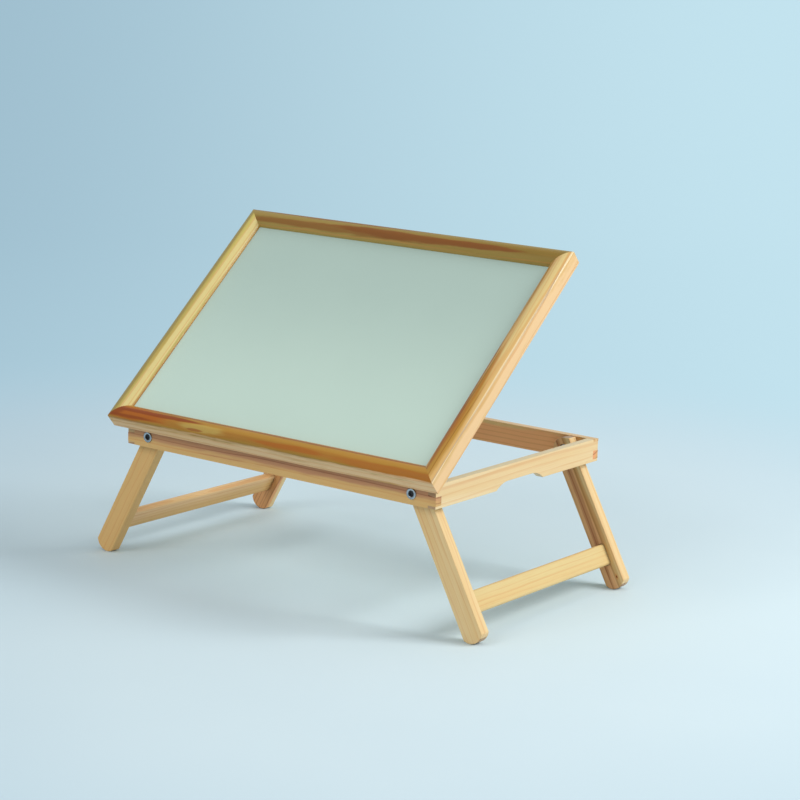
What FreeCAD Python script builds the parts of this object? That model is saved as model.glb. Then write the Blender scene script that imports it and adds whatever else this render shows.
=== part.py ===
import FreeCAD, Part
import math
import os

import Sketcher

# Bed tray table in pine: a box-jointed base ring on four folding legs, and a framed laminate tray
# that tilts about two hinges on the front rail and is held up by a prop standing on a notched rack.
# Millimetres, +Z up. The origin is on the floor, under the middle of the overall box.
# X runs along the long side, and the user sits at -Y.

sizes = {
    # base ring
    "base_length": 524,
    "base_depth": 376,
    "rail_height": 31.5,
    "long_rail_thickness": 12,
    "side_rail_thickness": 12,
    "finger_height": 12,
    "hold_length": 108,
    "hold_depth": 9.5,
    "hold_arc": 43,
    # legs and stretchers
    "leg_width": 30.5,
    "leg_thickness": 16.5,
    "leg_reach": 184.5,
    "foot_radius": 18.5,
    "leg_head_gap": 0.5,
    "leg_side_gap": 0.4,
    "leg_stop_gap": 0.3,
    "pivot_inset": 37.5,
    "pivot_height": 14.5,
    "stretcher_width": 29.5,
    "stretcher_thickness": 11,
    "stretcher_round": 3.5,
    "stretcher_reach": 154,
    "tenon_depth": 8,
    "mortise_gap": 0.4,
    "glue_gap": 0.05,
    # leg pivots: a sleeve nut from outside, a bolt and a washer from inside
    "sleeve_radius": 4,
    "sleeve_seat_gap": 0.05,
    "sleeve_running_gap": 0.08,
    "sleeve_proud": 0.3,
    "nut_head_radius": 7.3,
    "nut_head_height": 2,
    "nut_head_edge": 1,
    "nut_socket_width": 5.2,
    "nut_socket_depth": 4,
    "nut_web": 4,
    "bolt_radius": 3,
    "bolt_head_radius": 5.25,
    "bolt_head_height": 2.6,
    "bolt_head_edge": 0.8,
    "bolt_socket_width": 4,
    "bolt_socket_depth": 1.8,
    "bolt_end_gap": 1,
    "thread_gap": 0.03,
    "washer_radius": 6.5,
    "washer_hole_gap": 0.2,
    "washer_thickness": 1,
    "counterbore_radius": 7.25,
    "counterbore_depth": 4.6,
    # tray
    "side_overhang": 13,
    "front_overhang": 12.4,
    "tray_depth": 395,
    "moulding_width": 26.5,
    "moulding_height": 27.5,
    "moulding_lip_height": 18,
    "moulding_crown": 17,
    "moulding_edge_round": 2.5,
    "panel_top": 17,
    "panel_thickness": 3.2,
    "panel_groove": 6,
    "panel_gap": 0.5,
    # hinges
    "closed_gap": 0.4,
    "hinge_length": 50,
    "hinge_spread": 300,
    "leaf_width": 11.3,
    "leaf_thickness": 1.2,
    "leaf_edge_gap": 0.3,
    "knuckle_radius": 2.5,
    "knuckle_end_gap": 0.15,
    "pin_radius": 1.2,
    "pin_gap": 0.05,
    "barrel_face_gap": 0.3,
    "barrel_recess_gap": 0.6,
    "screw_head_radius": 2.8,
    "screw_radius": 1.4,
    "screw_length": 8,
    "screw_point": 2,
    "screw_spread": 36,
    "slot_length": 3.2,
    "slot_width": 0.7,
    "slot_depth": 0.6,
    # prop and rack
    "prop_length": 165,
    "prop_width": 60,
    "prop_thickness": 9,
    "prop_chamfer": 5,
    "batten_width": 40,
    "rack_width": 32,
    "rack_height": 18,
    "rack_housing": 5,
    "foot_clearance": 0.3,
    "groove_start": 211.5,
    "groove_pitch": 12.5,
    "groove_count": 8,
    "rest_groove_index": 3,
    "groove_width": 7,
    "groove_depth": 2.5,
}
knuckleCount = 5

document = FreeCAD.newDocument("BedTrayTable")
sheet = document.addObject("Spreadsheet::Sheet", "Sizes")
for row, (alias, number) in enumerate(sizes.items(), start=1):
    sheet.set(f"A{row}", alias)
    sheet.set(f"B{row}", str(number))
    sheet.setAlias(f"B{row}", alias)
document.recompute()


class Size:
    # A number together with the expression on the sheet that gives it.
    def __init__(self, value, text):
        self.value = value
        self.text = text

    def __add__(self, other):
        other = asSize(other)
        return Size(self.value + other.value, f"({self.text} + {other.text})")

    def __sub__(self, other):
        other = asSize(other)
        return Size(self.value - other.value, f"({self.text} - {other.text})")

    def __mul__(self, other):
        other = asSize(other)
        return Size(self.value * other.value, f"({self.text} * {other.text})")

    def __truediv__(self, other):
        other = asSize(other)
        return Size(self.value / other.value, f"({self.text} / {other.text})")

    def __neg__(self):
        return Size(-self.value, f"(0 - {self.text})")

    def __rmul__(self, other):
        return asSize(other) * self


def asSize(thing):
    return thing if isinstance(thing, Size) else Size(float(thing), f"({float(thing)})")


def read(alias):
    return Size(float(sheet.get(alias)), f"Sizes.{alias}")


def root(size):
    return Size(math.sqrt(size.value), f"sqrt({size.text})")


def cosine(degrees):
    return Size(math.cos(math.radians(degrees.value)), f"cos({degrees.text} * 1 deg)")


def sine(degrees):
    return Size(math.sin(math.radians(degrees.value)), f"sin({degrees.text} * 1 deg)")


def arcCosine(ratio):
    return Size(math.degrees(math.acos(ratio.value)), f"(acos({ratio.text}) / 1 deg)")


def arcTangent(rise, run):
    angle = math.degrees(math.atan2(rise.value, run.value))
    return Size(angle, f"(atan2({rise.text}; {run.text}) / 1 deg)")


def spot(x=0, y=0, z=0, axis="0; 0; 1", angle=0):
    # A placement as an expression: a turn about the axis, then a shift.
    shift = f"vector({asSize(x).text}; {asSize(y).text}; {asSize(z).text})"
    return f"placement({shift}; rotation(vector({axis}); {asSize(angle).text}))"


def place(thing, *spots):
    thing.setExpression("Placement", " * ".join(spots))


# Sketches and features of the bodies.


def newSketch(body, name, role, lift):
    sketch = body.newObject("Sketcher::SketchObject", name)
    plane = next(feature for feature in body.Origin.OriginFeatures if feature.Role == role)
    sketch.AttachmentSupport = [(plane, "")]
    sketch.MapMode = "FlatFace"
    lift = asSize(lift)
    sketch.AttachmentOffset = FreeCAD.Placement(FreeCAD.Vector(0, 0, lift.value), FreeCAD.Rotation())
    sketch.setExpression("AttachmentOffset.Base.z", lift.text)
    return sketch


def bindConstraint(sketch, kind, places, size):
    index = sketch.addConstraint(Sketcher.Constraint(kind, *places, size.value))
    sketch.setExpression(f"Constraints[{index}]", size.text)


def arcBetween(start, end, radius):
    # The arc runs to the left of the way from start to end if its radius is positive.
    run = end - start
    middle = (start + end) * 0.5
    left = FreeCAD.Vector(-run.y, run.x, 0).normalize()
    reach = math.sqrt(max(radius * radius - run.Length ** 2 / 4, 0))
    centre = middle + left * math.copysign(reach, radius)
    first, last = (start, end) if radius > 0 else (end, start)
    startAngle = math.atan2(first.y - centre.y, first.x - centre.x)
    endAngle = math.atan2(last.y - centre.y, last.x - centre.x)
    circle = Part.Circle(centre, FreeCAD.Vector(0, 0, 1), abs(radius))
    return Part.ArcOfCircle(circle, startAngle, endAngle)


def addLoop(sketch, corners):
    # A closed loop, counterclockwise. A corner is (x, y), or (x, y, radius) where an arc leaves it.
    # A positive radius bulges out of the loop, and a negative one into it.
    corners = [[asSize(number) for number in corner] for corner in corners]
    points = [FreeCAD.Vector(corner[0].value, corner[1].value, 0) for corner in corners]
    edges = []
    for index, corner in enumerate(corners):
        end = points[(index + 1) % len(points)]
        if len(corner) == 2:
            geometry = Part.LineSegment(points[index], end)
            edges.append((sketch.addGeometry(geometry, False), 1, 2))
        else:
            geometry = arcBetween(points[index], end, corner[2].value)
            ends = (1, 2) if corner[2].value > 0 else (2, 1)
            edges.append((sketch.addGeometry(geometry, False), *ends))
    for index, (edge, _, end) in enumerate(edges):
        following, start, _ = edges[(index + 1) % len(edges)]
        sketch.addConstraint(Sketcher.Constraint("Coincident", edge, end, following, start))
    for corner, (edge, start, _) in zip(corners, edges):
        bindConstraint(sketch, "DistanceX", (-1, 1, edge, start), corner[0])
        bindConstraint(sketch, "DistanceY", (-1, 1, edge, start), corner[1])
        if len(corner) == 3:
            radius = corner[2] if corner[2].value > 0 else -corner[2]
            bindConstraint(sketch, "Radius", (edge,), radius)


def addCircle(sketch, x, y, radius):
    x, y, radius = asSize(x), asSize(y), asSize(radius)
    circle = Part.Circle(FreeCAD.Vector(x.value, y.value, 0), FreeCAD.Vector(0, 0, 1), radius.value)
    edge = sketch.addGeometry(circle, False)
    bindConstraint(sketch, "DistanceX", (-1, 1, edge, 3), x)
    bindConstraint(sketch, "DistanceY", (-1, 1, edge, 3), y)
    bindConstraint(sketch, "Radius", (edge,), radius)


def rectangle(left, low, right, high):
    return [(left, low), (right, low), (right, high), (left, high)]


def roundedRectangle(centreX, centreY, width, height, radius):
    left = centreX - width / 2
    right = centreX + width / 2
    low = centreY - height / 2
    high = centreY + height / 2
    return [
        (left + radius, low),
        (right - radius, low, radius),
        (right, low + radius),
        (right, high - radius, radius),
        (right - radius, high),
        (left + radius, high, radius),
        (left, high - radius),
        (left, low + radius, radius),
    ]


def hexagon(acrossFlats):
    radius = acrossFlats / math.sqrt(3)
    turns = [math.radians(60 * corner) for corner in range(6)]
    return [(radius * math.cos(turn), radius * math.sin(turn)) for turn in turns]


def newBody(name):
    body = document.addObject("PartDesign::Body", name)
    body.Label = name
    return body


def pad(body, sketch, length, reverse=False, middle=False):
    feature = body.newObject("PartDesign::Pad", f"{sketch.Name}_pad")
    feature.Profile = sketch
    feature.Reversed = reverse
    feature.Midplane = middle
    feature.setExpression("Length", length.text)
    document.recompute()
    return feature


def pocket(body, sketch, depth=None, reverse=False):
    # A pocket of the given depth, or right through both ways. It has to take material away.
    before = body.Shape.Volume
    feature = body.newObject("PartDesign::Pocket", f"{sketch.Name}_pocket")
    feature.Profile = sketch
    if depth is None:
        feature.Type = "ThroughAll"
        feature.Midplane = True
    else:
        feature.Reversed = reverse
        feature.setExpression("Length", depth.text)
    document.recompute()
    if body.Shape.Volume >= before:
        raise ValueError(f"{feature.Name} cuts nothing")
    return feature


def revolve(body, sketch):
    feature = body.newObject("PartDesign::Revolution", f"{sketch.Name}_turned")
    feature.Profile = sketch
    feature.ReferenceAxis = (sketch, ["V_Axis"])
    feature.Angle = 360
    document.recompute()
    return feature


def newShape(kind, name, sizesOfShape, *spots):
    shape = document.addObject(kind, name)
    for prop, size in sizesOfShape.items():
        shape.setExpression(prop, asSize(size).text)
    if spots:
        place(shape, *spots)
    return shape


def box(name, low, high):
    extent = {"Length": high[0] - low[0], "Width": high[1] - low[1], "Height": high[2] - low[2]}
    return newShape("Part::Box", name, extent, spot(*low))


def fuse(name, shapes):
    joined = document.addObject("Part::MultiFuse", name)
    joined.Shapes = shapes
    joined.Refine = True
    return joined


def cutAway(name, base, tools):
    tool = tools[0] if len(tools) == 1 else fuse(f"{name}_tool", tools)
    result = document.addObject("Part::Cut", name)
    result.Base = base
    result.Tool = tool
    return result


def copies(name, master, spotLists):
    # Identical solids in one node, each a link to the same master.
    links = []
    for number, spots in enumerate(spotLists, start=1):
        link = document.addObject("App::Link", f"{name}_{number}")
        link.LinkedObject = master
        place(link, *spots)
        links.append(link)
    group = document.addObject("Part::Compound", name)
    group.Links = links
    return group


# Driving sizes read from the sheet, and what follows from them.

halfLength = read("base_length") / 2
halfDepth = read("base_depth") / 2
railHeight = read("rail_height")
longRail = read("long_rail_thickness")
sideRail = read("side_rail_thickness")
legWidth = read("leg_width")
legThickness = read("leg_thickness")
legReach = read("leg_reach")
pivotHeight = read("pivot_height")
pivotX = halfLength - read("pivot_inset")
closedHalfGap = read("closed_gap") / 2
leaf = read("leaf_thickness")
knuckle = read("knuckle_radius")
propThickness = read("prop_thickness")
propLength = read("prop_length")
trayLength = read("base_length") + 2 * read("side_overhang")
trayDepth = read("tray_depth")
mouldingWidth = read("moulding_width")
mouldingHeight = read("moulding_height")
frontOverhang = read("front_overhang")

# A leg splays until its outer edge meets the inside of the side rail at the ring's lower edge.
stopRun = halfLength - sideRail - read("leg_stop_gap") - pivotX
stopReach = root(stopRun * stopRun + pivotHeight * pivotHeight)
splay = arcCosine(legWidth / 2 / stopReach) - arcTangent(pivotHeight, stopRun)

ringBottom = legReach * cosine(splay) + read("foot_radius") - pivotHeight
ringTop = ringBottom + railHeight
pivotZ = ringBottom + pivotHeight

# The tray turns about the pins of its front hinges.
hingeY = -(halfDepth + knuckle + read("barrel_face_gap"))
hingeZ = ringTop + closedHalfGap

# The prop is as long as its pin is far from the tray's hinge line, so its foot runs level along the
# rack, and the angle follows from the groove that the foot stands over.
restDistance = read("groove_start") + read("rest_groove_index") * read("groove_pitch")
tilt = arcCosine(restDistance / (2 * propLength))
propPinHeight = propThickness / 2 + leaf / 2
rackTop = hingeZ - propThickness / 2 - read("foot_clearance")
rackBottom = rackTop - read("rack_height")

# The mouldings are domed. The crown's arc starts at the lip beside the panel, peaks at the full
# height and turns smoothly into the rounded upper edge.
edgeRound = read("moulding_edge_round")
crown = read("moulding_crown")
lipHeight = read("moulding_lip_height")
crownCentreZ = mouldingHeight - crown
lipRise = lipHeight - crownCentreZ
crownCentreY = mouldingWidth - root(crown * crown - lipRise * lipRise)
edgeReach = crown - edgeRound
edgeSetback = crownCentreY - edgeRound
edgeCentreZ = crownCentreZ + root(edgeReach * edgeReach - edgeSetback * edgeSetback)

# The ring stands back from the middle of the overall box, because the tray leans out in front. The
# box ends at the rounded upper edge of the front moulding and at the nuts' heads on the back rail.
edgeAhead = (frontOverhang - edgeRound) * cosine(tilt)
edgeRise = (edgeCentreZ + closedHalfGap) * sine(tilt)
frontEnd = hingeY - edgeAhead - edgeRise - edgeRound
ringShift = -(frontEnd + halfDepth + read("nut_head_height")) / 2

aboutX = "1; 0; 0"
aboutY = "0; 1; 0"
ringFrame = spot(y=ringShift)
hingeFrame = (ringFrame, spot(y=hingeY, z=hingeZ, axis=aboutX, angle=tilt))
trayFrame = (*hingeFrame, spot(y=-frontOverhang, z=closedHalfGap))
propPin = (*hingeFrame, spot(y=propLength, z=propPinHeight))
propFrame = (*propPin, spot(axis=aboutX, angle=-2 * tilt))

nodes = []


def keep(thing, name, *spots):
    thing.Label = name
    place(thing, *spots)
    nodes.append(thing)


# Base ring.

fingerLow = (railHeight - 2 * read("finger_height")) / 2
fingerMiddle = fingerLow + read("finger_height")
fingerHigh = fingerMiddle + read("finger_height")
hingeCentres = (-read("hinge_spread") / 2, read("hinge_spread") / 2)
screwSteps = (-read("screw_spread") / 2, asSize(0), read("screw_spread") / 2)
screwInset = (knuckle + read("leaf_edge_gap") + read("leaf_width")) / 2
pilotDepth = read("screw_length") - read("screw_point") / 2


def addPilots(sketch, centreX, y):
    for step in screwSteps:
        addCircle(sketch, centreX + step, y, read("screw_radius"))


def combEnd(outer, inner):
    # Box joint fingers up the right end of a long rail.
    return [
        (inner, 0),
        (inner, fingerLow),
        (outer, fingerLow),
        (outer, fingerMiddle),
        (inner, fingerMiddle),
        (inner, fingerHigh),
        (outer, fingerHigh),
        (outer, railHeight),
    ]


def mirroredBack(corners):
    return [(-corner[0], *corner[1:]) for corner in reversed(corners)]


def makeLongRail(name, hinged, *spots):
    # The outer face is at y = 0, and the ring's lower edge at z = 0.
    body = newBody(name)
    blank = newSketch(body, f"{name}_outline", "XZ_Plane", 0)
    fingers = combEnd(halfLength, halfLength - sideRail)
    addLoop(blank, fingers + mirroredBack(fingers))
    pad(body, blank, longRail, reverse=True)
    bores = newSketch(body, f"{name}_pivots", "XZ_Plane", 0)
    for side in (-1, 1):
        addCircle(bores, pivotX * side, pivotHeight, read("sleeve_radius") + read("sleeve_seat_gap"))
    pocket(body, bores, longRail)
    housing = newSketch(body, f"{name}_rack_housing", "XZ_Plane", -longRail)
    half = read("rack_width") / 2 + read("glue_gap")
    low = rackBottom - ringBottom - read("glue_gap")
    high = rackTop - ringBottom + read("glue_gap")
    addLoop(housing, rectangle(-half, low, half, high))
    pocket(body, housing, read("rack_housing") + read("glue_gap"), reverse=True)
    if hinged:
        gains = newSketch(body, f"{name}_hinge_gains", "XY_Plane", railHeight)
        pilots = newSketch(body, f"{name}_pilots", "XY_Plane", railHeight - leaf)
        reach = read("leaf_width") - knuckle - read("barrel_face_gap")
        for centre in hingeCentres:
            half = read("hinge_length") / 2
            addLoop(gains, rectangle(centre - half, 0, centre + half, reach))
            addPilots(pilots, centre, screwInset - knuckle - read("barrel_face_gap"))
        pocket(body, gains, leaf)
        pocket(body, pilots, pilotDepth)
    keep(body, name, *spots)


def makeSideRail(name, *spots):
    # The outer face is at x = 0 and the rail lies on the side of -x.
    body = newBody(name)
    outline = newSketch(body, f"{name}_outline", "YZ_Plane", 0)
    holdEnd = read("hold_length") / 2
    rise = read("hold_depth")
    arc = read("hold_arc")
    holdFlat = holdEnd - root(2 * arc * rise - rise * rise)
    inner = halfDepth - longRail
    end = [
        (halfDepth, 0),
        (halfDepth, fingerLow),
        (inner, fingerLow),
        (inner, fingerMiddle),
        (halfDepth, fingerMiddle),
        (halfDepth, fingerHigh),
        (inner, fingerHigh),
        (inner, railHeight),
    ]
    hold = [(-holdEnd, 0, -arc), (-holdFlat, rise), (holdFlat, rise, -arc), (holdEnd, 0)]
    addLoop(outline, hold + end + mirroredBack(end))
    pad(body, outline, sideRail, reverse=True)
    keep(body, name, *spots)


makeLongRail("front_rail", True, ringFrame, spot(y=-halfDepth, z=ringBottom))
makeLongRail("back_rail", False, ringFrame, spot(y=halfDepth, z=ringBottom, angle=180))
makeSideRail("right_side_rail", ringFrame, spot(x=halfLength, z=ringBottom))
makeSideRail("left_side_rail", ringFrame, spot(x=-halfLength, z=ringBottom, angle=180))


def makeRack():
    # Distances along the rack are from the tray's hinge line, heights from the rack's top.
    body = newBody("prop_rack")
    blank = newSketch(body, "rack_blank", "YZ_Plane", 0)
    end = halfDepth - longRail + read("rack_housing")
    addLoop(blank, rectangle(-end - hingeY, -read("rack_height"), end - hingeY, 0))
    pad(body, blank, read("rack_width"), middle=True)
    notch = newSketch(body, "rack_groove", "YZ_Plane", 0)
    start = read("groove_start")
    half = read("groove_width") / 2
    addLoop(notch, [(start, -read("groove_depth")), (start + half, 0), (start - half, 0)])
    groove = pocket(body, notch)
    row = body.newObject("PartDesign::LinearPattern", "rack_grooves")
    row.Originals = [groove]
    row.Direction = (notch, ["H_Axis"])
    row.setExpression("Occurrences", "Sizes.groove_count")
    row.setExpression("Length", (read("groove_pitch") * (read("groove_count") - 1)).text)
    body.Tip = row
    document.recompute()
    keep(body, "prop_rack", ringFrame, spot(y=hingeY, z=rackTop))


makeRack()


# Legs, each with its pivot at the local origin and its length down -z.


def makeLeg(name, sideY, *spots):
    # sideY is -1 for a front leg, whose outer face is at y = 0 with the leg behind it.
    front = sideY < 0
    body = newBody(name)
    half = legWidth / 2
    footRadius = read("foot_radius")
    headRadius = railHeight - pivotHeight - read("leg_head_gap")
    footEnd = legReach + root(footRadius * footRadius - half * half)
    headEnd = root(headRadius * headRadius - half * half)
    outline = newSketch(body, f"{name}_outline", "XZ_Plane", 0)
    foot = [(-half, -footEnd, footRadius), (half, -footEnd)]
    head = [(half, headEnd, headRadius), (-half, headEnd)]
    addLoop(outline, foot + head)
    pad(body, outline, legThickness, reverse=front)
    bore = newSketch(body, f"{name}_bore", "XZ_Plane", 0)
    addCircle(bore, 0, 0, read("sleeve_radius") + read("sleeve_running_gap"))
    pocket(body, bore, legThickness, reverse=not front)
    innerFace = legThickness * sideY
    counterbore = newSketch(body, f"{name}_counterbore", "XZ_Plane", innerFace)
    addCircle(counterbore, 0, 0, read("counterbore_radius"))
    pocket(body, counterbore, read("counterbore_depth"), reverse=front)
    mortise = newSketch(body, f"{name}_mortise", "XZ_Plane", innerFace)
    gap = read("mortise_gap")
    width = read("stretcher_thickness") + 2 * gap
    height = read("stretcher_width") + 2 * gap
    corner = read("stretcher_round") + gap
    addLoop(mortise, roundedRectangle(asSize(0), -read("stretcher_reach"), width, height, corner))
    pocket(body, mortise, read("tenon_depth") + read("glue_gap"), reverse=front)
    keep(body, name, *spots)


def makeStretcher(name, *spots):
    body = newBody(name)
    outline = newSketch(body, f"{name}_outline", "XZ_Plane", 0)
    width = read("stretcher_thickness")
    height = read("stretcher_width")
    addLoop(
        outline,
        roundedRectangle(asSize(0), -read("stretcher_reach"), width, height, read("stretcher_round")),
    )
    innerFace = halfDepth - longRail - read("leg_side_gap") - legThickness
    pad(body, outline, 2 * (innerFace + read("tenon_depth")), middle=True)
    keep(body, name, *spots)


legFace = halfDepth - longRail - read("leg_side_gap")
for sideX, sideName in ((-1, "left"), (1, "right")):
    lean = spot(axis=aboutY, angle=splay * -sideX)
    for sideY, endName in ((-1, "front"), (1, "back")):
        pivot = spot(x=pivotX * sideX, y=legFace * sideY, z=pivotZ)
        makeLeg(f"{sideName}_{endName}_leg", sideY, ringFrame, pivot, lean)
    makeStretcher(f"{sideName}_stretcher", ringFrame, spot(x=pivotX * sideX, z=pivotZ), lean)


# Leg pivots. The local axis is +z, out of the rail's face at z = 0.

sleeveLength = (
    longRail + read("leg_side_gap") + legThickness - read("counterbore_depth") + read("sleeve_proud")
)
socketFloor = read("nut_head_height") - read("nut_socket_depth")
boreTop = socketFloor - read("nut_web")


def addSocket(body, name, width, depth, face, reverse):
    socket = newSketch(body, name, "XY_Plane", face)
    addLoop(socket, hexagon(width))
    pocket(body, socket, depth, reverse=reverse)


def makeSleeveNut():
    body = newBody("sleeve_nut_master")
    section = newSketch(body, "sleeve_nut_section", "XZ_Plane", 0)
    bore = read("bolt_radius") + read("thread_gap")
    sleeve = read("sleeve_radius")
    head = read("nut_head_radius")
    top = read("nut_head_height")
    edge = read("nut_head_edge")
    addLoop(
        section,
        [
            (bore, -sleeveLength),
            (sleeve, -sleeveLength),
            (sleeve, 0),
            (head, 0),
            (head, top - edge, edge),
            (head - edge, top),
            (0, top),
            (0, boreTop),
            (bore, boreTop),
        ],
    )
    revolve(body, section)
    addSocket(body, "sleeve_nut_socket", read("nut_socket_width"), read("nut_socket_depth"), top, False)
    return body


def makeBolt():
    body = newBody("pivot_bolt_master")
    section = newSketch(body, "pivot_bolt_section", "XZ_Plane", 0)
    seat = -sleeveLength - read("washer_thickness")
    end = seat - read("bolt_head_height")
    tip = boreTop - read("bolt_end_gap")
    head = read("bolt_head_radius")
    edge = read("bolt_head_edge")
    shank = read("bolt_radius")
    addLoop(
        section,
        [
            (0, end),
            (head - edge, end, edge),
            (head, end + edge),
            (head, seat),
            (shank, seat),
            (shank, tip),
            (0, tip),
        ],
    )
    revolve(body, section)
    addSocket(body, "pivot_bolt_socket", read("bolt_socket_width"), read("bolt_socket_depth"), end, True)
    return body


def makeWasher():
    body = newBody("pivot_washer_master")
    ring = newSketch(body, "pivot_washer_ring", "XY_Plane", -sleeveLength)
    addCircle(ring, 0, 0, read("washer_radius"))
    addCircle(ring, 0, 0, read("bolt_radius") + read("washer_hole_gap"))
    pad(body, ring, read("washer_thickness"), reverse=True)
    return body


pivotSpots = [
    (spot(x=pivotX * sideX, y=halfDepth * sideY, z=pivotZ, axis=aboutX, angle=-90 * sideY),)
    for sideX in (-1, 1)
    for sideY in (-1, 1)
]
for name, master in (
    ("pivot_sleeve_nuts", makeSleeveNut()),
    ("pivot_bolts", makeBolt()),
    ("pivot_washers", makeWasher()),
):
    keep(copies(name, master, pivotSpots), name, ringFrame)


# Tray frame. A moulding lies along x, with its outer face at y = 0 and its underside at z = 0.


def makeMoulding(name, length, *spots):
    body = newBody(name)
    profile = newSketch(body, f"{name}_profile", "YZ_Plane", 0)
    shoulder = crown / edgeReach
    top = read("panel_top")
    bottom = top - read("panel_thickness")
    grooveEnd = mouldingWidth - read("panel_groove")
    addLoop(
        profile,
        [
            (edgeRound, 0),
            (mouldingWidth, 0),
            (mouldingWidth, bottom),
            (grooveEnd, bottom),
            (grooveEnd, top),
            (mouldingWidth, top),
            (mouldingWidth, lipHeight, crown),
            (
                crownCentreY - edgeSetback * shoulder,
                crownCentreZ + (edgeCentreZ - crownCentreZ) * shoulder,
                edgeRound,
            ),
            (0, edgeCentreZ),
            (0, edgeRound, edgeRound),
        ],
    )
    pad(body, profile, length, middle=True)
    mitres = newSketch(body, f"{name}_mitres", "XY_Plane", 0)
    half = length / 2
    margin = mouldingWidth / 2
    for side in (-1, 1):
        inner = (half - mouldingWidth - margin) * side
        outer = (half + margin) * side
        corners = [
            (outer, -margin),
            (outer, mouldingWidth + margin),
            (inner, mouldingWidth + margin),
        ]
        addLoop(mitres, corners if side > 0 else list(reversed(corners)))
    pocket(body, mitres)
    return body


def gainHinges(body):
    # Under the front moulding: room for the barrels, gains for the leaves and pilot holes.
    barrels = newSketch(body, "moulding_barrel_recesses", "XY_Plane", 0)
    gains = newSketch(body, "moulding_hinge_gains", "XY_Plane", 0)
    pilots = newSketch(body, "moulding_pilots", "XY_Plane", 0)
    half = read("hinge_length") / 2
    room = knuckle + read("barrel_recess_gap")
    for centre in hingeCentres:
        left = centre - half
        right = centre + half
        gap = read("leaf_edge_gap")
        addLoop(
            barrels, rectangle(left - gap, frontOverhang - room, right + gap, frontOverhang + room)
        )
        addLoop(gains, rectangle(left, frontOverhang, right, frontOverhang + read("leaf_width")))
        addPilots(pilots, centre, frontOverhang + screwInset)
    pocket(body, barrels, room - closedHalfGap, reverse=True)
    pocket(body, gains, leaf, reverse=True)
    pocket(body, pilots, pilotDepth + leaf, reverse=True)


frontMoulding = makeMoulding("front_moulding", trayLength)
gainHinges(frontMoulding)
keep(frontMoulding, "front_moulding", *trayFrame)
backMoulding = makeMoulding("back_moulding", trayLength)
keep(backMoulding, "back_moulding", *trayFrame, spot(y=trayDepth, angle=180))
for sideX, sideName in ((-1, "left"), (1, "right")):
    sideMoulding = makeMoulding(f"{sideName}_moulding", trayDepth)
    sideSpot = spot(x=trayLength / 2 * sideX, y=trayDepth / 2, angle=90 * sideX)
    keep(sideMoulding, f"{sideName}_moulding", *trayFrame, sideSpot)


def makeBoard(name, low, high):
    body = newBody(name)
    outline = newSketch(body, f"{name}_outline", "XY_Plane", low[2])
    addLoop(outline, rectangle(low[0], low[1], high[0], high[1]))
    pad(body, outline, high[2] - low[2])
    return body


panelBottom = read("panel_top") - read("panel_thickness")
panelInset = mouldingWidth - read("panel_groove") + read("panel_gap")
panelHalf = trayLength / 2 - panelInset
panel = makeBoard(
    "tray_panel",
    (-panelHalf, panelInset, panelBottom),
    (panelHalf, trayDepth - panelInset, read("panel_top")),
)
keep(panel, "tray_panel", *trayFrame)

# The batten under the panel carries the prop's hinge at its back edge.
pinY = frontOverhang + propLength
battenBack = pinY - knuckle - read("leaf_edge_gap")
battenLow = propPinHeight - closedHalfGap + leaf / 2
battenHalf = trayLength / 2 - mouldingWidth
batten = makeBoard(
    "prop_batten",
    (-battenHalf, battenBack - read("batten_width"), battenLow),
    (battenHalf, battenBack, panelBottom),
)
battenPilots = newSketch(batten, "batten_pilots", "XY_Plane", battenLow)
addPilots(battenPilots, asSize(0), pinY - screwInset)
battenThickness = panelBottom - battenLow
pocket(batten, battenPilots, battenThickness, reverse=True)
keep(batten, "prop_batten", *trayFrame)


def makeProp():
    # The pin is at the local origin, and the board lies along +y with its upper face below the pin.
    body = newBody("prop_board")
    outline = newSketch(body, "prop_outline", "YZ_Plane", 0)
    top = -leaf / 2
    bottom = top - propThickness
    middle = top - propThickness / 2
    start = knuckle + read("leaf_edge_gap")
    footRound = propThickness / 2
    chamfer = read("prop_chamfer")
    addLoop(
        outline,
        [
            (start + chamfer, bottom),
            (propLength, bottom, footRound),
            (propLength + footRound, middle, footRound),
            (propLength, top),
            (start, top),
            (start, bottom + chamfer),
        ],
    )
    pad(body, outline, read("prop_width"), middle=True)
    pilots = newSketch(body, "prop_pilots", "XY_Plane", top)
    addPilots(pilots, asSize(0), screwInset)
    pocket(body, pilots, pilotDepth)
    keep(body, "prop_board", *propFrame)


makeProp()


# Hinges. The pin runs along x at the local origin.


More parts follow.
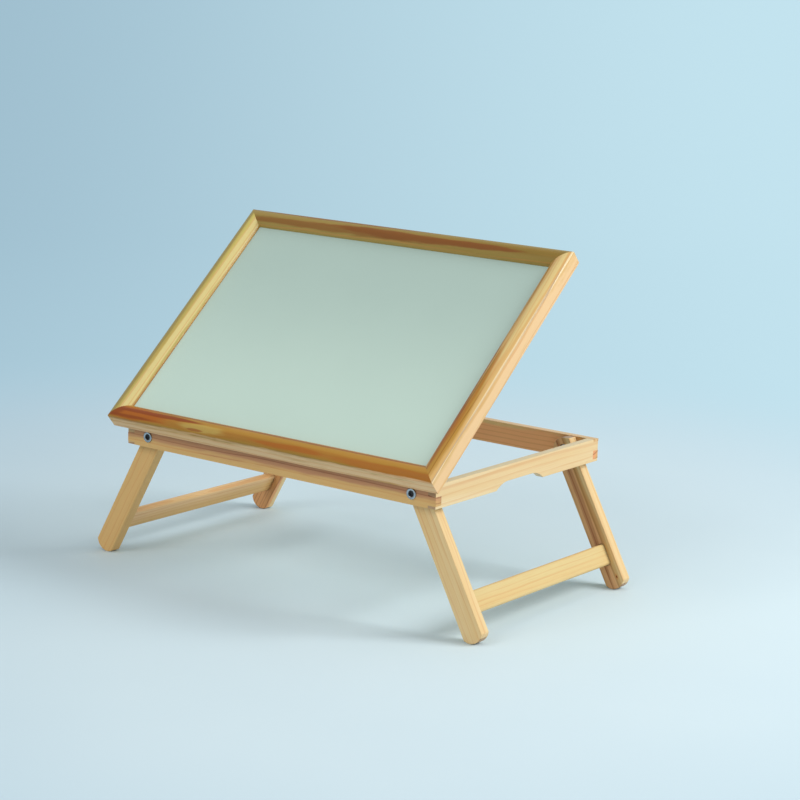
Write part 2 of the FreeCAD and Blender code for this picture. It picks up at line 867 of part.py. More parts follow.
def makeLeaf(name, direction, low, headUp, first):
    # The plate runs from the pin towards +y or -y with its lower face at z = low. The knuckles are
    # every other one, from the given one on, and the screw heads lie in the upper or lower face.
    half = read("hinge_length") / 2
    step = read("hinge_length") / knuckleCount
    edge = knuckle + read("leaf_edge_gap")
    width = read("leaf_width")
    gap = read("knuckle_end_gap")

    def across(near, far):
        return (near, far) if direction > 0 else (-far, -near)

    near, far = across(edge, width)
    solids = [box(f"{name}_plate", (-half, near, low), (half, far, low + leaf))]
    near, far = across(asSize(0), edge)
    for index in range(first, knuckleCount, 2):
        left = -half + step * index + gap
        right = left + step - 2 * gap
        solids.append(box(f"{name}_tab_{index}", (left, near, low), (right, far, low + leaf)))
        barrel = {"Radius": knuckle, "Height": step - 2 * gap}
        along = spot(x=left, axis=aboutY, angle=90)
        solids.append(newShape("Part::Cylinder", f"{name}_knuckle_{index}", barrel, along))
    blank = fuse(f"{name}_blank", solids)
    bore = {"Radius": read("pin_radius") + read("pin_gap"), "Height": read("hinge_length")}
    cutters = [newShape("Part::Cylinder", f"{name}_bore", bore, spot(x=-half, axis=aboutY, angle=90))]
    narrow, wide = read("screw_radius"), read("screw_head_radius")
    cone = {"Radius1": narrow if headUp else wide, "Radius2": wide if headUp else narrow, "Height": leaf}
    for number, shift in enumerate(screwSteps):
        hole = spot(x=shift, y=screwInset * direction, z=low)
        cutters.append(newShape("Part::Cone", f"{name}_countersink_{number}", cone, hole))
    return cutAway(name, blank, cutters)


def makePin(name, *spots):
    rod = {"Radius": read("pin_radius"), "Height": read("hinge_length")}
    pin = newShape("Part::Cylinder", name, rod)
    keep(pin, name, *spots, spot(x=-read("hinge_length") / 2, axis=aboutY, angle=90))


def makeScrew():
    # The head's top is at z = 0, and the screw goes down from there.
    wide, narrow = read("screw_head_radius"), read("screw_radius")
    head = {"Radius1": narrow, "Radius2": wide, "Height": leaf}
    shank = read("screw_length") - read("screw_point")
    body = {"Radius": narrow, "Height": shank - leaf}
    point = {"Radius1": asSize(0), "Radius2": narrow, "Height": read("screw_point")}
    turned = fuse(
        "screw_turned",
        [
            newShape("Part::Cone", "screw_head", head, spot(z=-leaf)),
            newShape("Part::Cylinder", "screw_shank", body, spot(z=-shank)),
            newShape("Part::Cone", "screw_tip", point, spot(z=-read("screw_length"))),
        ],
    )
    long, thin, deep = read("slot_length") / 2, read("slot_width") / 2, read("slot_depth")
    crossed = [
        box("screw_slot_along", (-long, -thin, -deep), (long, thin, asSize(0))),
        box("screw_slot_across", (-thin, -long, -deep), (thin, long, asSize(0))),
    ]
    return cutAway("screw_master", turned, crossed)


screw = makeScrew()
railLeafTop = -closedHalfGap
trayLeafLow = closedHalfGap
turnedOver = spot(axis=aboutX, angle=180)

for centre, sideName in zip(hingeCentres, ("left", "right")):
    railSide = (ringFrame, spot(x=centre, y=hingeY, z=hingeZ))
    traySide = (*hingeFrame, spot(x=centre))
    railLeaf = makeLeaf(f"{sideName}_hinge_rail_leaf", 1, railLeafTop - leaf, True, 0)
    keep(railLeaf, f"{sideName}_hinge_rail_leaf", *railSide)
    trayLeaf = makeLeaf(f"{sideName}_hinge_tray_leaf", 1, trayLeafLow, False, 1)
    keep(trayLeaf, f"{sideName}_hinge_tray_leaf", *traySide)
    makePin(f"{sideName}_hinge_pin", *railSide)

battenLeaf = makeLeaf("prop_hinge_batten_leaf", -1, -leaf / 2, False, 1)
keep(battenLeaf, "prop_hinge_batten_leaf", *propPin)
propLeaf = makeLeaf("prop_hinge_board_leaf", 1, -leaf / 2, True, 0)
keep(propLeaf, "prop_hinge_board_leaf", *propFrame)
makePin("prop_hinge_pin", *propPin)

railScrews = [
    (spot(x=centre + step, y=hingeY + screwInset, z=hingeZ + railLeafTop),)
    for centre in hingeCentres
    for step in screwSteps
]
keep(copies("hinge_rail_screws", screw, railScrews), "hinge_rail_screws", ringFrame)
trayScrews = [
    (spot(x=centre + step, y=screwInset, z=trayLeafLow), turnedOver)
    for centre in hingeCentres
    for step in screwSteps
]
keep(copies("hinge_tray_screws", screw, trayScrews), "hinge_tray_screws", *hingeFrame)
battenScrews = [
    (spot(x=step, y=-screwInset, z=-leaf / 2), turnedOver)
    for step in screwSteps
]
keep(copies("prop_hinge_batten_screws", screw, battenScrews), "prop_hinge_batten_screws", *propPin)
boardScrews = [(spot(x=step, y=screwInset, z=leaf / 2),) for step in screwSteps]
keep(copies("prop_hinge_board_screws", screw, boardScrews), "prop_hinge_board_screws", *propFrame)


document.recompute()
for thing in document.Objects:
    if "Invalid" in thing.State or "Error" in thing.State:
        raise ValueError(f"{thing.Label} didn't recompute")
for node in nodes:
    if node.Shape.isNull() or not node.Shape.isValid() or not node.Shape.Solids:
        raise ValueError(f"{node.Label} has no sound solid")

os.makedirs("parts", exist_ok=True)
for node in nodes:
    node.Shape.exportStep(f"parts/{node.Label}.step")
bounds = Part.makeCompound([node.Shape for node in nodes]).BoundBox
print(len(nodes), "nodes, overall", [round(extent, 2) for extent in (
    bounds.XMin, bounds.XMax, bounds.YMin, bounds.YMax, bounds.ZMin, bounds.ZMax
)])
print("tilt", round(tilt.value, 3), "splay", round(splay.value, 3))
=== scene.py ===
import math

import bmesh
import bpy
from mathutils import Matrix, Vector


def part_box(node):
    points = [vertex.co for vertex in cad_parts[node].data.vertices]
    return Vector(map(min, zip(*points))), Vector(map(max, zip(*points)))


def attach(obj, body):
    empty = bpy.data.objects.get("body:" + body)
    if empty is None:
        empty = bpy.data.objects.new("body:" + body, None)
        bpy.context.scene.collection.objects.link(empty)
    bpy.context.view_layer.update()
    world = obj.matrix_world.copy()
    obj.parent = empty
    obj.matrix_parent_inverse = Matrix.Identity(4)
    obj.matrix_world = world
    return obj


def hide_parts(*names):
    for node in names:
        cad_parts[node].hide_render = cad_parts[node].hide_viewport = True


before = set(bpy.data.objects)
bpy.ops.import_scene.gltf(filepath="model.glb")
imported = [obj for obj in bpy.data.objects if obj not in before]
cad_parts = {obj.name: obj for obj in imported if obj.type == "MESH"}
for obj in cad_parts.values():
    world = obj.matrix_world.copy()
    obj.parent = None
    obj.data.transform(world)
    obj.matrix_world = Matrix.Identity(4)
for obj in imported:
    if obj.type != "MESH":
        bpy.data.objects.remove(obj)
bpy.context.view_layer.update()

mm = 0.001
near = 0.01  # in millimetres: closer than this counts as the same level
weld = 0.0005  # in millimetres: points closer than this are merged


def turn(degrees, axis):
    return Matrix.Rotation(math.radians(degrees), 4, axis)


def shift(x=0, y=0, z=0):
    return Matrix.Translation(Vector((x, y, z)) * mm)


# Sizes in millimetres, mostly the same as in the solids. These come first because the places follow from
# them. The other sizes stand beside the code that uses them.
ring = dict(
    length=524, depth=376, height=31.5, rail=12, finger=12, edge=0.8,
    holdLength=108, holdDepth=9.5, holdArc=43,
)
leg = dict(
    width=30.5, thickness=16.5, reach=184.5, foot=18.5, headGap=0.5, edge=1.1,
    inset=37.5, pivotHeight=14.5, sideGap=0.4, stopGap=0.3,
)
tray = dict(length=550, depth=395, overhang=12.4, width=26.5, height=27.5, lip=18, crown=17, edge=2.5)
hinge = dict(knuckle=2.5, faceGap=0.3, closedHalf=0.2)
prop = dict(length=165, width=60, thickness=9, chamfer=5, leaf=1.2, hingeGap=0.3, edge=0.8)
rack = dict(
    width=32, height=18, housed=5, footGap=0.3, edge=0.5,
    grooves=8, start=211.5, pitch=12.5, rest=3, grooveWidth=7, grooveDepth=2.5,
)

halfLength, halfDepth = ring["length"] / 2, ring["depth"] / 2
pivotX = halfLength - leg["inset"]
stopRun = halfLength - ring["rail"] - leg["stopGap"] - pivotX  # each leg stops against the side rail
splay = math.degrees(
    math.acos(leg["width"] / 2 / math.hypot(stopRun, leg["pivotHeight"]))
    - math.atan2(leg["pivotHeight"], stopRun)
)
ringBottom = leg["reach"] * math.cos(math.radians(splay)) + leg["foot"] - leg["pivotHeight"]
ringTop = ringBottom + ring["height"]
pivotZ = ringBottom + leg["pivotHeight"]
hingeY = -(halfDepth + hinge["knuckle"] + hinge["faceGap"])
hingeZ = ringTop + hinge["closedHalf"]
footRun = rack["start"] + rack["rest"] * rack["pitch"]  # from the tray's hinge to the prop's foot
tilt = math.degrees(math.acos(footRun / (2 * prop["length"])))
railLow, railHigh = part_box("left_side_rail")
ringY = (railLow.y + railHigh.y) / 2 / mm  # the ring stands back from the middle of the box

ringPlace = shift(y=ringY)
hingePlace = ringPlace @ shift(y=hingeY, z=hingeZ) @ turn(tilt, "X")
trayPlace = hingePlace @ shift(y=-tray["overhang"], z=hinge["closedHalf"])
pinHeight = (prop["thickness"] + prop["leaf"]) / 2
pinPlace = hingePlace @ shift(y=prop["length"], z=pinHeight)
propPlace = pinPlace @ turn(-2 * tilt, "X")


# The photo's viewpoint: angles in degrees, and the camera's place from the middle of the ring.
view = dict(lens=105.37, azimuth=36.649, elevation=11.743, roll=1.93, x=1909.6, y=-2484.0, z=891.9, sensor=36)


def makeCamera():
    azimuth, elevation, roll = (math.radians(view[key]) for key in ("azimuth", "elevation", "roll"))
    level = math.cos(elevation)
    back = Vector((math.sin(azimuth) * level, -math.cos(azimuth) * level, math.sin(elevation)))
    right = Vector((math.cos(azimuth), math.sin(azimuth), 0))
    up = back.cross(right)
    rolled = Matrix.Rotation(roll, 3, back)
    right, up = rolled @ right, rolled @ up
    camera = bpy.data.objects.new("camera", bpy.data.cameras.new("camera"))
    bpy.context.scene.collection.objects.link(camera)
    facing = Matrix((right, up, back)).transposed().to_4x4()
    camera.matrix_world = shift(view["x"], view["y"] + ringY, view["z"]) @ facing
    camera.data.lens = view["lens"]
    camera.data.sensor_width = view["sensor"]
    camera.data.clip_start, camera.data.clip_end = 0.1, 50
    bpy.context.scene.camera = camera


makeCamera()
print("camera")


def paint(red, green, blue):
    # screen values from 0 to 255, as linear light
    def channel(value):
        value /= 255
        return value / 12.92 if value <= 0.04045 else ((value + 0.055) / 1.055) ** 2.4

    return (channel(red), channel(green), channel(blue), 1)


class Wire:
    # a shader socket that can be used in sums
    def __init__(self, recipe, socket):
        self.recipe = recipe
        self.socket = socket

    def sum(self, operation, *values):
        return self.recipe.add("ShaderNodeMath", dict(operation=operation), dict(enumerate(values)))

    def __add__(self, other):
        return self.sum("ADD", self, other)

    def __radd__(self, other):
        return self.sum("ADD", other, self)

    def __sub__(self, other):
        return self.sum("SUBTRACT", self, other)

    def __rsub__(self, other):
        return self.sum("SUBTRACT", other, self)

    def __mul__(self, other):
        return self.sum("MULTIPLY", self, other)

    def __rmul__(self, other):
        return self.sum("MULTIPLY", other, self)

    def __truediv__(self, other):
        return self.sum("DIVIDE", self, other)

    def __rtruediv__(self, other):
        return self.sum("DIVIDE", other, self)

    def root(self):
        return self.sum("SQRT", self)

    def fraction(self):
        return self.sum("FRACT", self)

    def between(self, low, high):
        # 0 below low, 1 above high, and a smooth step from one to the other
        settings = dict(interpolation_type="SMOOTHSTEP", clamp=True)
        sockets = {"Value": self, "From Min": low, "From Max": high}
        return self.recipe.add("ShaderNodeMapRange", settings, sockets)


class Recipe:
    # the nodes of one material
    def __init__(self, name):
        self.material = bpy.data.materials.new(name)
        self.material.use_nodes = True
        self.tree = self.material.node_tree
        self.tree.nodes.clear()

    def add(self, kind, settings=None, sockets=None, out=0):
        node = self.tree.nodes.new(kind)
        for key, value in (settings or {}).items():
            setattr(node, key, value)
        for key, value in (sockets or {}).items():
            if isinstance(value, Wire):
                self.tree.links.new(value.socket, node.inputs[key])
            else:
                node.inputs[key].default_value = value
        return Wire(self, node.outputs[out] if node.outputs else None)

    def place(self):
        # the object's own coordinates, in metres
        return self.add("ShaderNodeTexCoord", out="Object")

    def value(self, name):
        return self.add("ShaderNodeAttribute", dict(attribute_name=name), out="Fac")

    def part(self, vector, axis):
        return self.add("ShaderNodeSeparateXYZ", None, {0: vector}, out=axis)

    def blend(self, factor, first, second):
        settings = dict(data_type="RGBA", clamp_factor=True)
        return self.add("ShaderNodeMix", settings, {0: factor, 6: first, 7: second}, out=2)

    def vector(self, operation, *values, out=0):
        return self.add("ShaderNodeVectorMath", dict(operation=operation), dict(enumerate(values)), out)

    def noise(self, vector, scale, detail=2.0, rough=0.5):
        scaled = self.vector("MULTIPLY", vector, scale)
        sockets = {"Vector": scaled, "Scale": 1.0, "Detail": detail, "Roughness": rough}
        return self.add("ShaderNodeTexNoise", None, sockets)

    def distance(self, vector, centre, reach):
        # in reaches from the centre, both in millimetres
        offset = self.vector("SUBTRACT", vector, [value * mm for value in centre])
        scaled = self.vector("MULTIPLY", offset, [1 / (value * mm) for value in reach])
        return self.vector("LENGTH", scaled, out="Value")

    def bump(self, height, depth, strength):
        sockets = {"Strength": strength, "Distance": depth * mm, "Height": height}
        return self.add("ShaderNodeBump", None, sockets)

    def finish(self, **sockets):
        names = {key.replace("_", " "): value for key, value in sockets.items()}
        shader = self.add("ShaderNodeBsdfPrincipled", None, names)
        self.add("ShaderNodeOutputMaterial", None, {"Surface": shader})
        return self.material


# Each board carries its own coordinates in the "grain" attribute: along the log, across the board and
# through it. All places and reaches below are in millimetres of these.
pine = dict(
    pale=paint(228, 201, 150),
    warm=paint(220, 179, 116),
    tan=paint(210, 172, 110),
    peach=paint(234, 196, 148),
    late=paint(204, 134, 70),
    straw=paint(206, 192, 108),
    cream=paint(224, 208, 146),
    bone=paint(230, 208, 164),
    sand=paint(216, 194, 138),
    moss=paint(162, 140, 74),
    brown=paint(134, 82, 32),
    coral=paint(238, 166, 110),
    gold=paint(180, 134, 50),
    olive=paint(138, 112, 44),
    amber=paint(172, 94, 22),
    rose=paint(194, 138, 100),
    russet=paint(212, 144, 92),
    heart=paint(140, 66, 16),
    resin=paint(112, 40, 8),
    end=paint(126, 68, 42),
)
paleTones = ("pale", "peach", "cream", "straw", "coral")  # patches in these have lighter rings


# seed moves the board to another part of the log. spacing is the distance between growth rings, and middle
# is where the pith lies in the board's section. late is how strong the dark late wood is, thin is where in a
# ring it starts, warm is how much of the second tone shows, wave is how crooked the rings run, streak is the
# strength of the fine streaks and ends that of the end grain. A patch has a middle, three reaches, a tone and
# an amount. A knot has a middle and a size.
def makePine(
    name, seed=0, spacing=7.0, middle=(20, -45), late=0.5, thin=0.62, warm=0.5, wave=1.0, streak=0.5,
    ends=0.5, tones=("pale", "warm"), patches=(), knots=(),
):
    recipe = Recipe(name)
    grain = recipe.add("ShaderNodeAttribute", dict(attribute_name="grain"), out="Vector")
    log = recipe.vector("ADD", grain, (seed * 0.71, seed * 0.13, seed * 0.29))

    # growth rings about the pith, bent along the board
    bend = recipe.noise(log, (4, 16, 16)) - 0.5
    sway = recipe.noise(log, (9, 60, 60)) - 0.5
    y = recipe.part(grain, 1) - middle[0] * mm + bend * (0.012 * wave)
    z = recipe.part(grain, 2) - middle[1] * mm + sway * (0.004 * wave)
    radius = (y * y + z * z).root()
    uneven = recipe.noise(radius * 60 + seed, (1, 1, 1), 1) - 0.5
    phase = (radius / (spacing * mm) + uneven * 1.2).fraction()
    lateWood = phase.between(thin, 0.94) * (1 - phase.between(0.955, 1.0))
    strength = recipe.noise(log, (6, 120, 120), 3).between(0.25, 0.75) * 0.7 + 0.3

    broad = recipe.noise(log, (2.6, 55, 55)).between(0.3, 0.7)
    fine = recipe.noise(log, (14, 700, 700), 3, 0.6)
    hair = recipe.noise(log, (50, 2400, 2400), 2, 0.6)

    colour = recipe.blend(broad * warm, pine[tones[0]], pine[tones[1]])
    colour = recipe.blend(fine.between(0.45, 0.8) * (0.4 * streak), colour, pine["late"])
    colour = recipe.blend(lateWood * strength * late, colour, pine["late"])
    ragged = (recipe.noise(log, (10, 90, 90), 4, 0.6) - 0.5) * 1.5
    for centre, reach, tone, amount in patches:
        far = recipe.distance(grain, centre, reach) + ragged
        mask = (1 - far.between(0.65, 1.1)) * amount
        line = "late" if tone in paleTones else "resin"
        colour = recipe.blend(mask, colour, pine[tone])
        colour = recipe.blend(mask * lateWood * 0.5, colour, pine[line])
    for centre, size in knots:
        far = recipe.distance(grain, centre, (size * 2, size, size)) + ragged * 0.25
        colour = recipe.blend((1 - far.between(0.7, 1.3)) * 0.6, colour, pine["late"])
        colour = recipe.blend(1 - far.between(0.35, 0.6), colour, pine["resin"])
    endGrain = recipe.value("endGrain")
    colour = recipe.blend(endGrain * (lateWood * 0.4 + ends), colour, pine["end"])
    colour = recipe.blend((hair - 0.3) * 0.14, colour, pine["heart"])
    return recipe.finish(
        Base_Color=colour,
        Roughness=0.36 + fine * 0.14,
        Normal=recipe.bump(hair * 0.5 + lateWood * 0.5, 0.12, 0.3),
        Specular_IOR_Level=0.12,
        Coat_Weight=0.3,
        Coat_Roughness=0.18,
    )


class Pen:
    # draws a closed outline on the XY plane, by extruding and spinning its last vertex
    def __init__(self, mesh, x, y):
        self.mesh = mesh
        self.first = self.tip = mesh.verts.new((x, y, 0))

    def line(self, *points):
        for x, y in points:
            made = bmesh.ops.extrude_vert_indiv(self.mesh, verts=[self.tip])
            self.tip = made["verts"][0]
            self.tip.co = (x, y, 0)
        return self

    def arc(self, x, y, degrees, steps=8):
        made = bmesh.ops.spin(
            self.mesh, geom=[self.tip], cent=(x, y, 0), axis=(0, 0, 1),
            angle=math.radians(degrees), steps=steps,
        )
        self.tip = next(item for item in made["geom_last"] if isinstance(item, bmesh.types.BMVert))
        return self

    def close(self):
        if (self.tip.co - self.first.co).length > near:
            self.mesh.edges.new((self.tip, self.first))
        bmesh.ops.remove_doubles(self.mesh, verts=self.mesh.verts[:], dist=weld)
        return bmesh.ops.contextual_create(self.mesh, geom=self.mesh.edges[:])["faces"]


def vertsOf(made):
    return [item for item in made["geom"] if isinstance(item, bmesh.types.BMVert)]


def thicken(mesh, faces, distance):
    made = bmesh.ops.extrude_face_region(mesh, geom=faces)
    bmesh.ops.translate(mesh, verts=vertsOf(made), vec=(0, 0, distance))
    bmesh.ops.recalc_face_normals(mesh, faces=mesh.faces[:])


def roundEdges(mesh, offset, wanted=None, segments=2, sharp=35):
    edges = [
        edge
        for edge in mesh.edges
        if len(edge.link_faces) == 2
        and math.degrees(edge.calc_face_angle(0)) > sharp
        and (wanted is None or wanted(edge.verts[0].co, edge.verts[1].co))
    ]
    bmesh.ops.bevel(
        mesh, geom=edges, offset=offset, segments=segments, profile=0.5, affect="EDGES",
        material=-1, clamp_overlap=True,
    )


def deepen(mesh, loop, depth):
    # Draws a closed loop of edges down by depth and closes it with a floor.
    made = bmesh.ops.extrude_edge_only(mesh, edges=loop)
    moved = vertsOf(made)
    bmesh.ops.translate(mesh, verts=moved, vec=(0, 0, -depth))
    edges = [item for item in made["geom"] if isinstance(item, bmesh.types.BMEdge)]
    floor = [edge for edge in edges if all(vert in moved for vert in edge.verts)]
    bmesh.ops.contextual_create(mesh, geom=floor)


def sink(mesh, z, loops):
    # Cuts pockets into the flat face at z. Each is a closed loop of edges on it and a depth.
    flat = [face for face in mesh.faces if all(abs(vert.co.z - z) < near for vert in face.verts)]
    cap = max(flat, key=lambda face: face.calc_area())
    rim = cap.edges[:]
    bmesh.ops.delete(mesh, geom=[cap], context="FACES_ONLY")
    inner = [edge for loop, depth in loops for edge in loop]
    bmesh.ops.triangle_fill(mesh, use_beauty=True, edges=rim + inner)
    for loop, depth in loops:
        deepen(mesh, loop, depth)
    bmesh.ops.recalc_face_normals(mesh, faces=mesh.faces[:])


def circleEdges(mesh, x, y, z, radius, segments=40):
    place = Matrix.Translation((x, y, z))
    made = bmesh.ops.create_circle(mesh, segments=segments, radius=radius, matrix=place)
    return list({edge for vert in made["verts"] for edge in vert.link_edges})


def slotEdges(mesh, x, y, z, width, height, corner, steps=5):
    # a rectangle with rounded corners
    before = set(mesh.edges)
    left, right = x - width / 2 + corner, x + width / 2 - corner
    low, high = y - height / 2 + corner, y + height / 2 - corner
    pen = Pen(mesh, left, low - corner).line((right, low - corner)).arc(right, low, 90, steps)
    pen.line((right + corner, high)).arc(right, high, 90, steps)
    pen.line((left, high + corner)).arc(left, high, 90, steps)
    pen.line((left - corner, low)).arc(left, low, 90, steps)
    edges = [edge for edge in mesh.edges if edge not in before]
    verts = list({vert for edge in edges for vert in edge.verts})
    bmesh.ops.remove_doubles(mesh, verts=verts, dist=weld)
    edges = [edge for edge in mesh.edges if edge not in before]
    for vert in {vert for edge in edges for vert in edge.verts}:
        vert.co.z = z
    return edges


def addPiece(mesh, name, body, node, place, material, grain=None, smooth=40):
    # The outline's own axes are in millimetres. grain turns them so that the wood runs along x.
    bmesh.ops.remove_doubles(mesh, verts=mesh.verts[:], dist=weld)
    bmesh.ops.recalc_face_normals(mesh, faces=mesh.faces[:])
    if grain is not None:
        layer = mesh.verts.layers.float_vector.new("grain")
        endLayer = mesh.faces.layers.float.new("endGrain")
        for vert in mesh.verts:
            vert[layer] = (grain @ vert.co) * mm
        for face in mesh.faces:
            facesEnd = abs((grain.to_3x3() @ face.normal).x) > 0.8
            face[endLayer] = float(facesEnd)
    bmesh.ops.transform(mesh, matrix=place @ Matrix.Scale(mm, 4), verts=mesh.verts[:])
    data = bpy.data.meshes.new(name)
    mesh.to_mesh(data)
    mesh.free()
    piece = bpy.data.objects.new(name, data)
    bpy.context.scene.collection.objects.link(piece)
    data.polygons.foreach_set("use_smooth", [True] * len(data.polygons))
    data.set_sharp_from_angle(angle=math.radians(smooth))
    weighted = piece.modifiers.new("even shading", "WEIGHTED_NORMAL")
    weighted.keep_sharp = True
    data.materials.append(material)
    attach(piece, body)
    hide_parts(node)


def axes(first, second, third):
    # where the outline's x, y and z axes go
    return Matrix((first, second, third)).transposed().to_4x4()


def standing(sideY):
    # An outline on XY stands up on XZ. Its thickness runs inwards from the face that looks to sideY.
    return axes(right, up, (0, -sideY, 0))


def layAcross(mesh, width):
    # The outline stands on YZ, and its thickness runs along x, on both sides of the middle.
    place = Matrix.Translation((-width / 2, 0, 0)) @ alongZ
    bmesh.ops.transform(mesh, matrix=place, verts=mesh.verts[:])


left, right, backwards, up = (-1, 0, 0), (1, 0, 0), (0, 1, 0), (0, 0, 1)
alongX = axes(right, backwards, up)
alongY = axes(backwards, right, up)
alongZ = axes(backwards, up, right)
downLeg = axes(backwards, left, up)


# The base ring has four boards with finger joints.
railLook = dict(
    front_rail=dict(
        seed=1, spacing=9, middle=(60, 9), late=0.55, warm=0.8, streak=0.8, ends=0.15, tones=("tan", "warm"),
        # The rose patches paint the upper band, under the tray, pinkish brown: partly a painted shadow of the
        # tray, partly heartwood.
        patches=[((0, 23, 0), (600, 15, 40), "rose", 0.75), ((40, 20, 0), (260, 9, 40), "rose", 0.6)],
    ),
    back_rail=dict(
        seed=2, spacing=7, middle=(50, 20), late=0.4, warm=0.9, ends=0.15, tones=("warm", "peach"),
        patches=[((0, 14, 12), (900, 16, 12), "coral", 0.95)],
    ),
    right_side_rail=dict(
        seed=3, spacing=10, middle=(-70, 16), late=0.4, warm=0.5, streak=0.5, wave=1.4, ends=0.6,
        tones=("bone", "warm"),
    ),
    left_side_rail=dict(seed=4, spacing=8, middle=(-60, 20), late=0.45, warm=0.7, streak=0.5, ends=0.35),
)
lowest = (ring["height"] - 2 * ring["finger"]) / 2
fingerLevels = [lowest + ring["finger"] * number for number in range(3)]


def combPoints(end, inner, first):
    # The finger joint up the right end. first is True where this rail has the lowest finger.
    points = []
    bottom = 0
    for index, top in enumerate((*fingerLevels, ring["height"])):
        x = end if (index % 2 == 0) == first else inner
        points += [(x, bottom), (x, top)]
        bottom = top
    return points


def onRingEdge(half):
    # Tells the edges that show on the finished ring from the ones inside its finger joints.
    inner = half - ring["rail"]

    def inJoint(middle):
        return abs(middle.x) > inner - near and any(abs(middle.y - level) < near for level in fingerLevels)

    def wanted(a, b):
        middle = (a + b) / 2
        atEnd = abs(abs(middle.x) - half) < near
        if abs(a.z - b.z) > near:
            return atEnd and (abs(middle.y) < near or abs(middle.y - ring["height"]) < near)
        runsLong = abs(a.x - b.x) > near and not inJoint(middle)
        onOuterFace = abs(middle.z) < near
        return (runsLong or atEnd) if onOuterFace else (runsLong and abs(middle.x) < inner)

    return wanted


def makeRail(half, hold):
    # The side rails have the hand-hold and the lowest finger.
    mesh = bmesh.new()
    inner = half - ring["rail"]
    right = combPoints(half, inner, hold)
    left = [(-x, y) for x, y in reversed(right)]
    if hold:
        reach, rise, radius = ring["holdLength"] / 2, ring["holdDepth"], ring["holdArc"]
        flat = reach - math.sqrt(2 * radius * rise - rise * rise)
        sweep = math.degrees(math.acos((radius - rise) / radius))
        pen = Pen(mesh, -reach, 0).arc(-flat, rise - radius, -sweep, 8)
        pen.line((flat, rise)).arc(flat, rise - radius, -sweep, 8)
    else:
        pen = Pen(mesh, *left.pop())
    top = [(inner, ring["height"]), (-inner, ring["height"])]
    pen.line(*right, *top, *left)
    thicken(mesh, pen.close(), ring["rail"])
    roundEdges(mesh, ring["edge"], onRingEdge(half))
    return mesh


for name, x, y, angle, hold in (
    ("front_rail", 0, -halfDepth, 0, False),
    ("back_rail", 0, halfDepth, 180, False),
    ("right_side_rail", halfLength, 0, 90, True),
    ("left_side_rail", -halfLength, 0, -90, True),
):
    mesh = makeRail(halfDepth if hold else halfLength, hold)
    place = ringPlace @ shift(x, y, ringBottom) @ turn(angle, "Z") @ standing(-1)
    material = makePine(f"pine {name}", **railLook[name])
    addPiece(mesh, f"{name}_board", "base", name, place, material, alongX)
print("base ring")


# The legs, and the stretcher that joins the two legs of a side.
bar = dict(width=29.5, thickness=11, corner=3.5, reach=154, housed=8, mortiseGap=0.8)
bore = dict(radius=7.25, depth=4.6)  # the recess of a pivot in the leg's inner face
legLook = dict(
    right_front=dict(seed=5, spacing=6, middle=(-38, 46), late=0.45, thin=0.8, warm=0.6, streak=0.9),
    right_back=dict(
        seed=6, spacing=9, middle=(28, 26), late=0.4, warm=0.5, streak=0.6,
        patches=[
            ((80, -3, 17), (300, 14, 6), "russet", 0.6),
            ((70, -4, 17), (150, 5, 8), "heart", 0.45),
            ((120, 7, 17), (200, 5, 5), "gold", 0.4),
        ],
        knots=[((188, 7, 16.5), 2.2)],
    ),
    left_front=dict(
        seed=7, spacing=5, middle=(-28, 50), late=0.5, thin=0.8, warm=0.4, streak=0.6, tones=("warm", "tan")
    ),
    left_back=dict(
        seed=8, spacing=6, middle=(-50, 24), late=0.5, warm=0.8,
        patches=[((100, 0, 16), (250, 40, 9), "russet", 0.7)],
    ),
)
stretcherLook = dict(
    left=dict(seed=9, spacing=6, middle=(40, 30), late=0.5, warm=0.9, streak=0.7, tones=("warm", "peach")),
    right=dict(seed=10, spacing=7, middle=(44, 36), late=0.35, warm=0.4, streak=0.5, tones=("sand", "warm")),
)


def makeLeg(sideX):
    # Drawn for the right side, with its pivot at the origin, its length down -y and its outer face at z = 0.
    # The head is cut level towards the side rail and round towards the ring's middle, where it folds.
    mesh = bmesh.new()
    half, foot = leg["width"] / 2, leg["foot"]
    head = ring["height"] - leg["pivotHeight"] - leg["headGap"]
    footTurn = math.degrees(math.asin(half / foot))
    footEnd = -leg["reach"] - math.sqrt(foot**2 - half**2)
    lean = math.radians(splay)
    corner = (head - half * math.sin(lean)) / math.cos(lean)
    level = (head * math.sin(lean), head * math.cos(lean))
    pen = Pen(mesh, -half, footEnd).arc(0, -leg["reach"], 2 * footTurn, 16)
    headTurn = 90 + splay - math.degrees(math.acos(half / head))
    pen.line((half, corner), level).arc(0, 0, headTurn, 16)
    bmesh.ops.transform(mesh, matrix=Matrix.Scale(sideX, 4, (1, 0, 0)), verts=mesh.verts[:])
    thicken(mesh, pen.close(), leg["thickness"])
    roundEdges(mesh, leg["edge"], segments=3)
    inner, gap = leg["thickness"], bar["mortiseGap"]
    hole = circleEdges(mesh, 0, 0, inner, bore["radius"])
    width, height = bar["thickness"] + 2 * gap, bar["width"] + 2 * gap
    mortise = slotEdges(mesh, 0, -bar["reach"], inner, width, height, bar["corner"] + gap)
    sink(mesh, inner, [(hole, bore["depth"]), (mortise, bar["housed"])])
    return mesh


def makeStretcher():
    mesh = bmesh.new()
    edges = slotEdges(mesh, 0, -bar["reach"], 0, bar["thickness"], bar["width"], bar["corner"], 6)
    faces = bmesh.ops.contextual_create(mesh, geom=edges)["faces"]
    inside = halfDepth - ring["rail"] - leg["sideGap"] - leg["thickness"] + bar["housed"]
    thicken(mesh, faces, 2 * inside)
    bmesh.ops.translate(mesh, verts=mesh.verts[:], vec=(0, 0, -inside))
    return mesh


